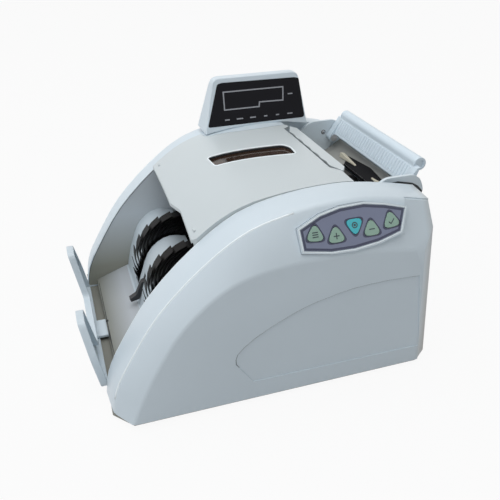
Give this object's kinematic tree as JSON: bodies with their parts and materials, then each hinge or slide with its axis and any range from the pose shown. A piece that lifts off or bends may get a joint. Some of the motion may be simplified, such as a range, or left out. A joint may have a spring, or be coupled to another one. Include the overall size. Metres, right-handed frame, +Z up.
{
  "type": "desktop banknote counter",
  "caption": "Desktop banknote counter with arched side covers, a hinged lid with a window, a feed hopper, finned stacker wheels, a note stop, a keypad and a leaning display.",
  "frame": {"origin": "middle of the footprint on the ground under the feet", "axes": "+X from the output bay to the hopper, +Y from the keypad side to the display side, +Z up"},
  "size_m": [0.3292, 0.2855, 0.2288],
  "materials": {
    "housing": "satin moulded",
    "lid": "satin moulded",
    "grey_plastic": "satin moulded",
    "cream_plastic": "satin moulded",
    "black_plastic": "fine texture",
    "rubber": "matt",
    "steel": "brushed",
    "brass": "turned",
    "smoky_glass": "smoky clear",
    "display_glass": "dark clear",
    "keypad_blue": "printed film",
    "key_green": "printed film",
    "key_teal": "printed film",
    "circuit": "circuit board"
  },
  "bodies": {
    "housing": {"base_pan": "grey_plastic", "display_housing": "housing", "display_window": "display_glass", "drive_motor": "steel", "far_frame_plate": "steel", "far_front_foot": "rubber", "far_hopper_wall": "grey_plastic", "far_lid_pin": "steel", "far_note_wedge": "cream_plastic", "far_pivot_screw": "steel", "far_rear_foot": "rubber", "far_side_cover": "housing", "front_tie_rod": "steel", "hopper_floor": "grey_plastic", "hopper_front_bar": "lid", "keypad_bezel": "housing", "keypad_board": "circuit", "keypad_panel": "keypad_blue", "main_board": "circuit", "motor_belt": "rubber", "near_frame_plate": "steel", "near_front_foot": "rubber", "near_hopper_wall": "grey_plastic", "near_lid_pin": "steel", "near_note_wedge": "cream_plastic", "near_pivot_screw": "steel", "near_rear_foot": "rubber", "near_side_cover": "housing", "output_floor": "grey_plastic", "pickup_belt": "rubber", "power_inlet": "black_plastic", "rear_cover": "housing", "rear_tie_rod": "steel", "retard_roller": "rubber", "stacker_belt": "rubber", "stacker_guide": "housing", "stop_guide_screw": "steel", "tray_sensor_arm": "black_plastic"},
    "stop": {"note_stop": "housing"},
    "lid": {"top_cover": "lid", "cover_window": "smoky_glass"},
    "support": {"note_support": "housing"},
    "rocker": {"power_rocker": "black_plastic"},
    "stacker": {"near_stacker_wheel": "black_plastic", "far_stacker_wheel": "black_plastic", "stacker_shaft": "steel", "stacker_pulley": "black_plastic"},
    "feed": {"feed_roller": "rubber", "feed_pulley": "black_plastic", "encoder_disc": "black_plastic"},
    "pickup": {"pickup_roller": "rubber", "pickup_pulley": "black_plastic"},
    "exit": {"exit_roller": "rubber"},
    "pinch": {"pinch_roller": "grey_plastic"},
    "motor_spindle": {"motor_pulley": "brass"},
    "left_key": {"left_key": "key_green"},
    "plus_key": {"plus_key": "key_green"},
    "mode_key": {"mode_key": "key_teal"},
    "minus_key": {"minus_key": "key_green"},
    "right_key": {"right_key": "key_green"}
  },
  "joints": [
    {"name": "lid_hinge", "type": "hinge", "parent": "housing", "child": "lid", "pos_m": [-0.0541, 0, 0.1363], "axis": [0, -1, 0], "range_deg": [0, 62]},
    {"name": "support_hinge", "type": "hinge", "parent": "housing", "child": "support", "pos_m": [0.1429, 0, 0.1558], "axis": [0, 1, 0], "range_deg": [-30, 40]},
    {"name": "stop_slide", "type": "slide", "parent": "housing", "child": "stop", "axis": [-1, 0, 0], "range_m": [0, 0.02]},
    {"name": "rocker_hinge", "type": "hinge", "parent": "housing", "child": "rocker", "pos_m": [0.1497, 0.018, 0.0388], "axis": [0, 0, -1], "range_deg": [0, 14]},
    {"name": "left_key_press", "type": "slide", "parent": "housing", "child": "left_key", "axis": [0, 0.8844, -0.4668], "range_m": [0, 0.0008], "stiffness_N_per_m": 400, "springref_m": -0.0005},
    {"name": "plus_key_press", "type": "slide", "parent": "housing", "child": "plus_key", "axis": [0, 0.8844, -0.4668], "range_m": [0, 0.0008], "stiffness_N_per_m": 400, "springref_m": -0.0005},
    {"name": "mode_key_press", "type": "slide", "parent": "housing", "child": "mode_key", "axis": [0, 0.8844, -0.4668], "range_m": [0, 0.0008], "stiffness_N_per_m": 400, "springref_m": -0.0005},
    {"name": "minus_key_press", "type": "slide", "parent": "housing", "child": "minus_key", "axis": [0, 0.8844, -0.4668], "range_m": [0, 0.0008], "stiffness_N_per_m": 400, "springref_m": -0.0005},
    {"name": "right_key_press", "type": "slide", "parent": "housing", "child": "right_key", "axis": [0, 0.8844, -0.4668], "range_m": [0, 0.0008], "stiffness_N_per_m": 400, "springref_m": -0.0005},
    {"name": "feed_spin", "type": "hinge", "parent": "housing", "child": "feed", "pos_m": [0.0801, 0, 0.07213], "axis": [0, 1, 0], "continuous": true},
    {"name": "stacker_spin", "type": "hinge", "parent": "housing", "child": "stacker", "pos_m": [-0.0486, 0, 0.0598], "axis": [0, 1, 0], "continuous": true},
    {"name": "pickup_spin", "type": "hinge", "parent": "housing", "child": "pickup", "pos_m": [0.1332, 0, 0.1227], "axis": [0, 1, 0], "continuous": true},
    {"name": "exit_spin", "type": "hinge", "parent": "housing", "child": "exit", "pos_m": [0.02673, 0, 0.05551], "axis": [0, 1, 0], "continuous": true},
    {"name": "pinch_spin", "type": "hinge", "parent": "housing", "child": "pinch", "pos_m": [0.01382, 0, 0.07633], "axis": [0, 1, 0], "continuous": true},
    {"name": "motor_spin", "type": "hinge", "parent": "housing", "child": "motor_spindle", "pos_m": [0.1124, 0, 0.0368], "axis": [0, 1, 0], "continuous": true}
  ],
  "couplings": [
    {"joint": "stacker_spin", "follows": "feed_spin", "ratio": 0.9},
    {"joint": "pickup_spin", "follows": "feed_spin", "ratio": 2},
    {"joint": "exit_spin", "follows": "feed_spin", "ratio": 2.435},
    {"joint": "pinch_spin", "follows": "feed_spin", "ratio": -2.435},
    {"joint": "motor_spin", "follows": "feed_spin", "ratio": 2.25}
  ]
}
